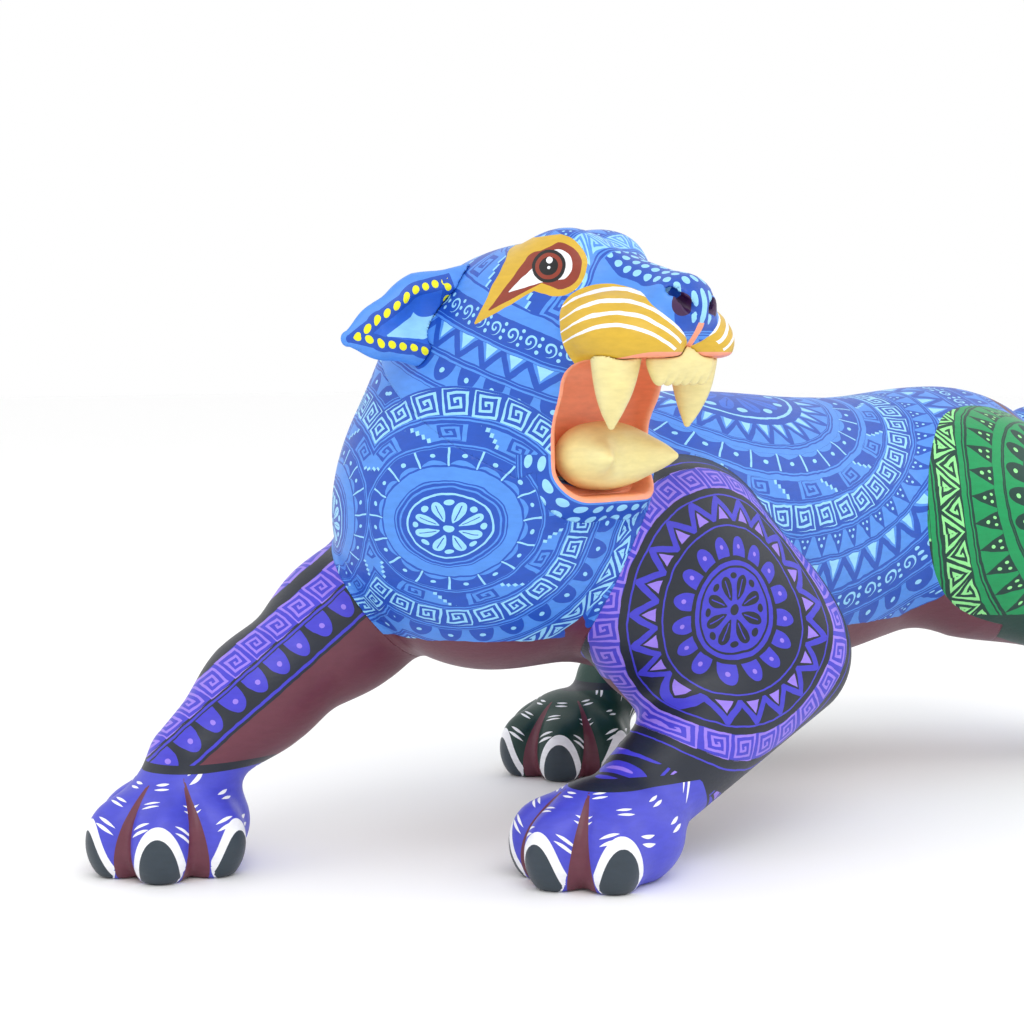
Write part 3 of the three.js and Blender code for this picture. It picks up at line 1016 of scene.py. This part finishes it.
def rule(width=2, motif=lines, ground=BASE):
    ink = DARK if ground == BASE else BASE
    return (width, motif, 1, ground, ink, ink)


def plain(width, ground=BASE):
    return (width, fill, 1, ground, ground, ground)


# ---- zones of rows

def neck_zone(p, y):
    """The mandala on the side of the neck and chest; y is folded to the left side."""
    centre = (-208, -34, 136)
    raw = p.distance(p.x, y, p.z, centre)
    grown = (raw / 48).low(1.0)
    across = (p.x + 208) * 0.707 - (y + 34) * 0.707
    up = (p.z - 132 - grown * 7) * (1.4 - grown * 0.2)
    rise = (p.x + 208) * 0.707 + (y + 34) * 0.707
    reach = p.length(across, up, rise)
    rows = [
        band(19, medallion, 8, DARK, LIGHT), rule(2.5, line), plain(6),
        band(7, scallop, 16), rule(),
        band(7, fret, 18), rule(),
        band(9.5, greca, 27, DARK, LIGHT), rule(2.5),
        band(9, petal, 30), rule(2, line),
        band(9, triangle_spiral, 40, DARK, LIGHT), rule(2, line), plain(60),
    ]
    return Zone(p, reach, p.turns(up, across), rows), reach


def back_zone(p, y):
    """The mandala that lies across the back, longer than it is wide."""
    across = (p.x + 20) * 0.62
    down = p.length(y + 11, p.z - 178)
    reach = p.length(across, down)
    rows = [
        band(26, medallion, 10, DARK, MIDDLE),
        band(11, zigzag, 26), rule(), plain(2),
        band(7.5, scallop, 26), rule(), plain(1.5),
        band(7.5, fret, 32), rule(1.5, line),
        band(9.5, greca, 42, DARK, LIGHT), rule(),
        band(8, dotted_triangle, 62), rule(1.5, line),
        band(11, zigzag, 54), rule(),
        band(8.5, curl, 66, DARK, DARK), rule(),
        band(9, petal, 66), rule(1.5, line),
        band(5, dotted_triangle, 100), plain(5, UNDER),
    ]
    return Zone(p, reach, p.turns(0 - down, across), rows), reach


def rump_zone(p):
    """Rings round the tail's root."""
    reach = p.distance(p.x, p.y, p.z, (232, 0, 149))
    rows = [
        plain(20, DARK),
        band(8, petal, 14), rule(),
        band(9.5, greca, 24, DARK, LIGHT), rule(),
        band(9, dotted_triangle, 34), rule(2, line),
        band(9, zigzag, 34), plain(60),
    ]
    return Zone(p, reach, p.turns(p.z - 149, p.y), rows), reach


def cheek_zone(p, fall):
    """Rows that run down the cheek from the ear to the mouth; fall is the distance below the eye's row."""
    along = (0 - p.y * 0.93 - p.z * 0.37) / 100
    rows = [
        plain(32),
        band(12, fret, 9), plain(5.5),
        band(8.5, curl, 13, DARK, DARK), rule(2, line),
        band(9.5, zigzag, 9), rule(2, line),
        band(9, petal, 9.5), rule(2, line), plain(20),
    ]
    return Zone(p, fall + 40, along, rows)


def forehead_zone(p):
    """Rows across the crown, counted back from the eyes' front corners."""
    rows = [
        rule(1.5, line),
        band(9.5, triangle_spiral, 18, BASE, LIGHT), rule(1.5, line),
        band(9, dotted_triangle, 13), rule(1.5, line),
        band(10, zigzag, 10), rule(),
        band(9, petal, 11), rule(),
        band(9.5, greca, 10, DARK, LIGHT), rule(),
        band(10, fret, 10), plain(50),
    ]
    return Zone(p, p.y + 74, (p.x - HEAD_X) / 100 + 0.5, rows)


def bridge_zone(p, aside):
    """Columns of dots along the bridge of the nose."""
    return Zone(p, aside + 2.25, p.y / 100, [band(4.5, dots, 21, DARK, LIGHT)] * 3 + [plain(20)])


def chin_zone(p, away, aside):
    """Two rows of pale scales under the lower lip."""
    rows = [
        plain(3),
        band(4, dots, 40, DARK, LIGHT),
        band(4, dots, 44, DARK, LIGHT), rule(1.5, line), plain(40),
    ]
    return Zone(p, away, p.turns(p.z - 182, aside), rows)


# ---- blue pieces

def torso_paint():
    p = Paint("torso_paint")
    y = 0 - abs(p.y)
    neck, neck_reach = neck_zone(p, y)
    back, back_reach = back_zone(p, y)
    rump, rump_reach = rump_zone(p)
    zone = over(p, (p.x > 150) & (rump_reach < 54), rump, back)
    zone = over(p, (neck_reach < 77) & (p.x < -84), neck, zone)
    colour, relief = drawn(p, zone, BLUES, DARK)
    chest = ((p.x + 60) * -0.5).high(0.0).low(12.0)
    belly = (p.z < chest + 76) | ((back_reach > 121) & (p.z < 112) & (p.x > -84) & (p.x < 190))
    return p.finish(*coats(p, colour, relief, (belly, MAROON)))


def dot(place, way):
    """How far a place lies in a direction."""
    x, y, z = (v * float(w) for v, w in zip(place, way))
    return x + y + z


def teardrop(p, u, v, line, radii):
    """Below zero within a 2-D chain of tapered rods."""
    found = None
    for (au, av), (bu, bv), ra, rb in zip(line, line[1:], radii, radii[1:]):
        length = (bu - au) ** 2 + (bv - av) ** 2
        du, dv = u - au, v - av
        t = ((du * (bu - au) + dv * (bv - av)) / length).high(0.0).low(1.0)
        ou, ov = du - t * (bu - au), dv - t * (bv - av)
        d = p.length(ou, ov) - (t * (rb - ra) + ra)
        found = d if found is None else found.low(d)
    return found


def eye_paint(p, colour, relief, u, v, close):
    """An almond outlined in ochre and rust, with a brown iris; u and v are measured from its middle."""
    outline = teardrop(p, u, v, [(2.5, 0.3), (-6, 1.5), (-26.8, -20.6)], [11.5, 10, 0.4]) < 0
    lid = teardrop(p, u, v, [(3.5, 0), (-3, 0), (-21.7, -15.6)], [8.6, 6, 0.3]) < 0
    white = teardrop(p, u, v, [(3, 0.3), (-3, -2.5), (-14.5, -9.4)], [5.7, 3.6, 0.2]) < 0
    reach = p.length(u, v)
    glint = (p.distance(u, v, u * 0, (0.2, 2.3, 0)) < 1.2) | (p.distance(u, v, u * 0, (0, -0.5, 0)) < 0.6)
    layers = [(outline, OCHRE), (lid, RUST), (white, WHITE), (reach < 6.2, rgb(22, 20, 22)),
              (reach < 5.0, RUST), (reach < 3.5, rgb(14, 12, 14)), (glint, WHITE)]
    return coats(p, colour, relief, *[(mask & close, paint) for mask, paint in layers])


def muzzle_paint(p, colour, relief, u):
    """Ochre pads with four white whisker stripes on each."""
    pad = p.attribute("pad") < 0
    arc = p.z + square(u + 62) * 0.019 + (u + 62) * 0.05
    order = (arc - 204.9) / 4.45
    apart = abs(order.fract() - 0.5) * 4.45
    start = ((u + 85) / 14).high(0.0).low(1.0)
    ends = (u < (arc - 221) * 0.5 - 35) & (u > -85)
    stripe = (apart < start * 0.62 + 0.12) & (order > 0) & (order < 4) & ends
    return coats(p, colour, relief, (pad, OCHRE), (pad & stripe, WHITE))


def head_paint():
    p = Paint("head_paint", 0.7)
    folded = 0 - abs(p.y)
    aside = abs(p.x - HEAD_X)
    side_x = HEAD_X - aside
    neck, reach = neck_zone(p, folded)
    fall = p.y * 0.37 - p.z * 0.93 + 222.5
    cheek = cheek_zone(p, fall)
    crown = forehead_zone(p)
    away = p.attribute("mouth")
    zone = over(p, fall < -8, crown, cheek)
    zone = over(p, (p.y < -74) & (p.z > 205) & (aside < 17.5), bridge_zone(p, aside), zone)
    zone = over(p, (reach < 56) | (p.y > 24), neck, zone)
    zone = over(p, (away < 13) & (p.z < 160), chin_zone(p, away, p.x - HEAD_X), zone)
    colour, relief = drawn(p, zone, BLUES, DARK)
    u = (side_x - p.y) * 0.707
    close = (p.distance(side_x, p.y, p.z, (-184, -58, 226)) < 37) & (aside > 10)
    colour, relief = eye_paint(p, colour, relief, u + 86.3, p.z - 229, close)
    colour, relief = muzzle_paint(p, colour, relief, u)
    nostril = p.distance(aside, p.y, p.z, (8, -107.5, 214.5)) < 4.6
    cleft = (aside < 1.6) & (p.z < 208) & (p.y < -96)
    colour, relief = coats(p, colour, relief, (nostril, WINE), (cleft, SALMON), (away < 2.2, SALMON),
                           (away < 0.7, FLESH))
    return p.finish(colour, relief, 0.4)


def ear_paint():
    """Dark band with yellow dots round a hollow with a pale crescent; rows of petals behind."""
    p = Paint("ear_paint", 0.4)
    side_x = HEAD_X - abs(p.x - HEAD_X)
    place = [v - float(c) for v, c in zip((side_x, p.y, p.z), EAR_PLACE)]
    along, up, back = (dot(place, axis) for axis in EAR_AXES)
    edge = teardrop(p, along, up, [(2, 0), (16, 0), (35, -2), (49, -3)], [18, 16.5, 9.5, 3])
    edge = edge.high(1.5 - along)
    beads = (p.choose(along < 7.5, up, along) / 4.4).fract() * 4.4 - 2.2
    bead = square(edge + 4.4) + square(beads)
    crescent = teardrop(p, along, up, [(12, 3), (18, -2), (34, -4)], [6.5, 5, 0.4]) < 0
    bite = p.distance(along, up, up * 0, (14, 9.5, 0)) > 8.4
    colour, _ = coats(p, BLUE, up * 0, (edge < -1.6, DEEP), (edge < -7.2, ROYAL), (crescent & bite, SKY),
                      (bead < 2.3, YELLOW))
    rows = [
        plain(6), band(9, petal, 10), rule(),
        band(8, zigzag, 11), rule(), plain(30, DARK),
    ]
    rear, _ = drawn(p, Zone(p, along, up / 100 + 0.5, rows), BLUES, DARK)
    return p.finish(p.mix(back < 0.5, rear, colour), bead < 2.3)


def tail_paint():
    """Rings along the tail, which is dark at its tip."""
    p = Paint("tail_paint", 0.5)
    along = p.attribute("along")
    around = p.turns(p.attribute("aside"), p.attribute("above"))
    rows = []
    for motif, cells in [(greca, 9), (petal, 10), (zigzag, 9), (dotted_triangle, 10), (curl, 9), (fret, 8)]:
        ground = DARK if motif in (greca, curl) else BASE
        rows += [band(10, motif, cells, ground, LIGHT if motif is greca else DARK), rule()]
    first = Zone(p, along, around, rows + [plain(40)])
    second = Zone(p, along - 72, around, rows + [plain(30, DARK)])
    third = Zone(p, along - 144, around, rows[:6] + [plain(80, DARK)])
    zone = over(p, along > 144, third, over(p, along > 72, second, first))
    return p.finish(*drawn(p, zone, BLUES, DARK))


# ---- legs

def paw_rows():
    """Three rings of dashes; the palette is the foot's colour and then white."""
    rows = [plain(4)]
    for count in (7, 9, 11):
        rows += [(4.5, strokes, count, BASE, DARK, DARK), plain(5.5)]
    return rows + [plain(40)]


def feet_paint(p, colour, relief, ground, ankle):
    """Dashes below the ankle, wine-dark grooves between the toes, and dark nails in white arches."""
    up, ahead, aside = p.attribute("paw_z"), p.attribute("paw_x"), p.attribute("paw_y")
    reach = p.distance(ahead, aside, up, (0, 0, 40))
    zone = Zone(p, reach - 9, p.turns(aside, ahead), paw_rows())
    foot, raised = drawn(p, zone, [ground, WHITE], BASE)
    low = up < ankle
    colour, relief = p.mix(low, colour, foot), p.choose(low, raised, relief)
    groove = low & (p.attribute("groove") < 0)
    nail = p.attribute("nail")
    return coats(p, colour, relief, (abs(up - ankle) < 1.6, INK), (groove, MAROON), (nail < 1.28, WHITE),
                 (nail < 0.98, SLATE))


def mandala(p, centre, rows):
    """Rings round a middle on the figure's side."""
    reach = p.distance(p.x, p.y, p.z, centre)
    return Zone(p, reach, p.turns(p.z - centre[2], p.x - centre[0]), rows), reach


def shoulder_zone(p, centre):
    rows = [
        (20, medallion, 8, BASE, DARK, DARK), plain(1.5, DARK),
        band(9, petal, 16, DARK, BASE), plain(2, DARK), rule(1.5, line, DARK),
        plain(1.5, DARK),
        band(9.5, zigzag, 20, DARK, BASE), rule(1.5, line, DARK), plain(2, DARK),
        band(10.5, greca, 24, BASE, LIGHT), plain(2.5, DARK), rule(1.5, line, DARK),
        plain(40, DARK),
    ]
    return mandala(p, centre, rows)


FOREARM_ROWS = [
    plain(2, DARK),
    band(10, petal, 9, DARK, BASE), rule(2, line, DARK),
    band(9, triangle_spiral, 14, DARK, LIGHT), rule(2, line, DARK),
    band(8, dotted_triangle, 11, DARK, BASE), rule(2, line, DARK),
    band(10, zigzag, 9, DARK, BASE), rule(2, line, DARK),
    band(9, curl, 11, BASE, BASE), plain(60, DARK),
]


def foreleg_left_paint():
    p = Paint("foreleg_left_paint", 0.8)
    across = 28 - (p.x + 50) * -0.491 - (p.z - 74) * 0.871
    along = ((p.x + 50) * -0.871 + (p.z - 74) * -0.491) / 100
    shoulder, reach = shoulder_zone(p, (-96, -78, 97))
    forearm = Zone(p, across, along, FOREARM_ROWS)
    zone = over(p, reach < 71, shoulder, forearm)
    colour, relief = drawn(p, zone, VIOLETS, DARK)
    colour, relief = coats(p, colour, relief, ((p.y > -44) & (p.z < 70), MAROON))
    return p.finish(*feet_paint(p, colour, relief, FOOT_VIOLET, 37))


def foreleg_right_paint():
    p = Paint("foreleg_right_paint", 0.8)
    from_shoulder = (p.x + 152, p.y - 38, p.z - 114)
    across = abs(dot(from_shoulder, (0.437, -0.5, -0.748)) + 26)
    along = dot(from_shoulder, (-0.782, 0.2, -0.59)) / 100
    rows = [
        plain(2, DARK),
        band(10.5, greca, 9, BASE, LIGHT), rule(2, line, DARK),
        band(10.5, petal, 9, DARK, BASE), rule(2.5, line, DARK), plain(80, UNDER),
    ]
    colour, relief = drawn(p, Zone(p, across, along, rows), VIOLETS, DARK)
    return p.finish(*feet_paint(p, colour, relief, FOOT_VIOLET, 40))


def hind_leg_paint(name, side, ankle_at):
    p = Paint(name + "_paint", 0.8)
    rows = [
        (20, medallion, 8, BASE, DARK, DARK), rule(2, line),
        band(10, zigzag, 16), rule(2, line),
        band(10, petal, 20), rule(1.5, line), plain(3.5),
        band(12, dotted_triangle, 30), rule(), plain(2),
        band(11, triangle_spiral, 42, DARK, LIGHT), rule(2.5), plain(2),
        band(10, fret, 40), plain(30),
    ]
    haunch, reach = mandala(p, (153, 72 * side, 126), rows)
    shank_rows = [row[:4] + (DARK, LIGHT) for row in FOREARM_ROWS]
    shank = Zone(p, (p.x - ankle_at) * 0.7 + 30, p.z / 100, shank_rows)
    zone = over(p, (p.z < 76) & (reach > 49), shank, haunch)
    colour, relief = drawn(p, zone, GREENS, DARK)
    colour, relief = coats(p, colour, relief, ((p.y * side < 52) & (p.z < 72), MAROON))
    return p.finish(*feet_paint(p, colour, relief, FOOT_GREEN, 40))


# ---- teeth and dowels

def tooth_paint():
    """Cream, a little warmer towards the gum, brushed by hand."""
    p = Paint("tooth_paint_look")
    share = Value(p, p.noise(0.06, 2.0))
    return p.finish(p.mix(share, CREAM, rgb(234, 216, 140)), share * 0.3, 0.38)


def dowel_wood():
    """Bare turned wood, with its grain along the dowel."""
    p = Paint("dowel_wood")
    wave = p.node("ShaderNodeTexWave", wave_type="RINGS")
    p.put(p.mm, wave.inputs["Vector"])
    wave.inputs["Scale"].default_value = 0.35
    wave.inputs["Distortion"].default_value = 4.0
    share = Value(p, wave.outputs["Fac"])
    return p.finish(p.mix(share, rgb(222, 190, 146), rgb(190, 150, 104)), share * 0.4, 0.68)


# ---- paw marks

def spokes(q, spreads):
    """How far points lie along each of the directions from a paw's middle, and how far beside it."""
    for spread in spreads:
        c, s = math.cos(math.radians(spread)), math.sin(math.radians(spread))
        yield q[:, 0] * c + q[:, 1] * s, q[:, 1] * c - q[:, 0] * s


def groove_field(q):
    """Below zero in the wedges between the toes."""
    wedges = [np.maximum(np.abs(aside) - (38 - q[:, 2]) * 0.15, 12 - ahead)
              for ahead, aside in spokes(q, GROOVE_SPREAD)]
    return np.min(wedges, axis=0)


def nail_field(q):
    """One at the edge of each nail, and less inside it."""
    nails = [np.hypot(aside / 7.6, (q[:, 2] - 4) / 14.5) + np.maximum(26 - ahead, 0) * 0.5
             for ahead, aside in spokes(q, TOE_SPREAD)]
    return np.min(nails, axis=0)


def give_paw_marks(thing, points, name):
    q = paw_place(points, name)
    give(thing, "paw_x", q[:, 0])
    give(thing, "paw_y", q[:, 1])
    give(thing, "paw_z", q[:, 2] + np.maximum(np.linalg.norm(q[:, :2], axis=1) - 42, 0) * 2)
    give(thing, "groove", groove_field(q))
    give(thing, "nail", nail_field(q))


def tail_place(points):
    """How far along the tail each point is, and which way round it."""
    line, _ = smooth_line(TAIL_LINE, TAIL_RADII, 12)
    reach = np.concatenate([[0], np.cumsum(np.linalg.norm(np.diff(line, axis=0), axis=1))])
    nearest = np.array([np.argmin(((line - p) ** 2).sum(1)) for p in points])
    tangent = np.gradient(line, axis=0)
    tangent /= np.linalg.norm(tangent, axis=1)[:, None]
    across = np.cross(tangent, (0.0, 1.0, 0.0))
    offset = points - line[nearest]
    along = reach[nearest] + (offset * tangent[nearest]).sum(1)
    return along, offset[:, 1], (offset * across[nearest]).sum(1)


# ---- the figure

PAINTS = {
    "torso": (torso_paint, "blue_paint"),
    "head": (head_paint, "blue_paint"),
    "foreleg_left": (foreleg_left_paint, "violet_paint"),
    "foreleg_right": (foreleg_right_paint, "violet_paint"),
    "hind_leg_left": (lambda: hind_leg_paint("hind_leg_left", -1, 212), "green_paint"),
    "hind_leg_right": (lambda: hind_leg_paint("hind_leg_right", 1, 8), "green_paint"),
}


def mirror(points, triangles):
    flipped = points.copy()
    flipped[:, 0] = 2 * HEAD_X - flipped[:, 0]
    return flipped, triangles[:, ::-1]


def build_figure():
    for name, (points, triangles, seat) in carve_body().items():
        paint, slot = PAINTS[name]
        thing = make("painted_" + name, points, triangles, paint(), slot, nodes=[name], flat_from=seat)
        if name == "head":
            give(thing, "mouth", mouth_near(points))
            give(thing, "pad", pad_paint_field(points))
        elif name != "torso":
            give_paw_marks(thing, points, name)
    cream = tooth_paint()
    canine = mesh_of(canine_field, (-195, -110, 160), (-160, -70, 215), FINE)
    make("canine_r", *canine, cream, "tooth_paint", nodes=["upper_canine_right"])
    make("canine_l", *mirror(*canine), cream, "tooth_paint", nodes=["upper_canine_left"])
    strip = mesh_of(incisors_field, (-175, -112, 180), (-137, -90, 210), FINE)
    make("incisors", *strip, cream, "tooth_paint", nodes=["upper_incisors"])
    lower = mesh_of(lower_teeth_field, (-195, -105, 140), (-117, -45, 185), FINE)
    make("teeth_low", *lower, cream, "tooth_paint", nodes=["lower_teeth"])
    ear, leaf = ear_paint(), mesh_of(ear_field, (-245, -40, 180), (-165, 15, 245), FINE)
    make("ear_r", *leaf, ear, "blue_paint", "ear_right", ["ear_right"])
    make("ear_l", *mirror(*leaf), ear, "blue_paint", "ear_left", ["ear_left"])
    points, triangles = mesh_of(tail_field, (190, -45, 118), (360, 30, 250), FINE * 1.3)
    tail = make("painted_tail", points, triangles, tail_paint(), "blue_paint", "tail", ["tail"])
    for name, values in zip(("along", "above", "aside"), tail_place(points)):
        give(tail, name, values)


def finish_dowels():
    wood = dowel_wood()
    for name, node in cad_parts.items():
        if "dowel" in name:
            node.data.materials.clear()
            node.data.materials.append(wood)


# ---- camera, light and floor

def add_camera():
    data = bpy.data.cameras.new("camera")
    data.sensor_width = 36.0
    data.lens = LENS
    data.clip_end = 50.0
    camera = in_scene("camera", data)
    camera.location = to_row(CAMERA_PLACE)
    camera.rotation_euler = (math.radians(90 - CAMERA_DIP), 0, math.radians(-45))
    bpy.context.scene.camera = camera


def add_light(name, place, target, size, watts):
    data = bpy.data.lights.new(name, "AREA")
    data.shape = "SQUARE"
    data.size = size
    data.energy = watts
    light = in_scene(name, data)
    light.location = place
    away = np.array(target, float) - np.array(place, float)
    light.rotation_euler = (math.atan2(math.hypot(away[0], away[1]), -away[2]), 0,
                            math.atan2(away[1], away[0]) - math.pi / 2)


def add_studio():
    mesh = bpy.data.meshes.new("floor")
    half = FLOOR_SIDE / 2
    corners = [(-half, -half, 0), (half, -half, 0), (half, half, 0), (-half, half, 0)]
    mesh.from_pydata(corners, [], [(0, 1, 2, 3)])
    material = bpy.data.materials.new("floor_white")
    material.use_nodes = True
    shader = material.node_tree.nodes["Principled BSDF"]
    shader.inputs["Base Color"].default_value = (0.985, 0.985, 0.985, 1)
    shader.inputs["Roughness"].default_value = 0.6
    mesh.materials.append(material)
    floor = in_scene("floor", mesh)
    world = bpy.data.worlds.new("studio")
    world.use_nodes = True
    world.node_tree.nodes["Background"].inputs[0].default_value = (1.0, 1.0, 1.0, 1)
    world.node_tree.nodes["Background"].inputs[1].default_value = 1.0
    bpy.context.scene.world = world
    for light in LIGHTS:
        add_light(*light)
    bpy.context.scene.view_settings.view_transform = "Standard"


build_figure()
finish_dowels()
add_camera()
add_studio()
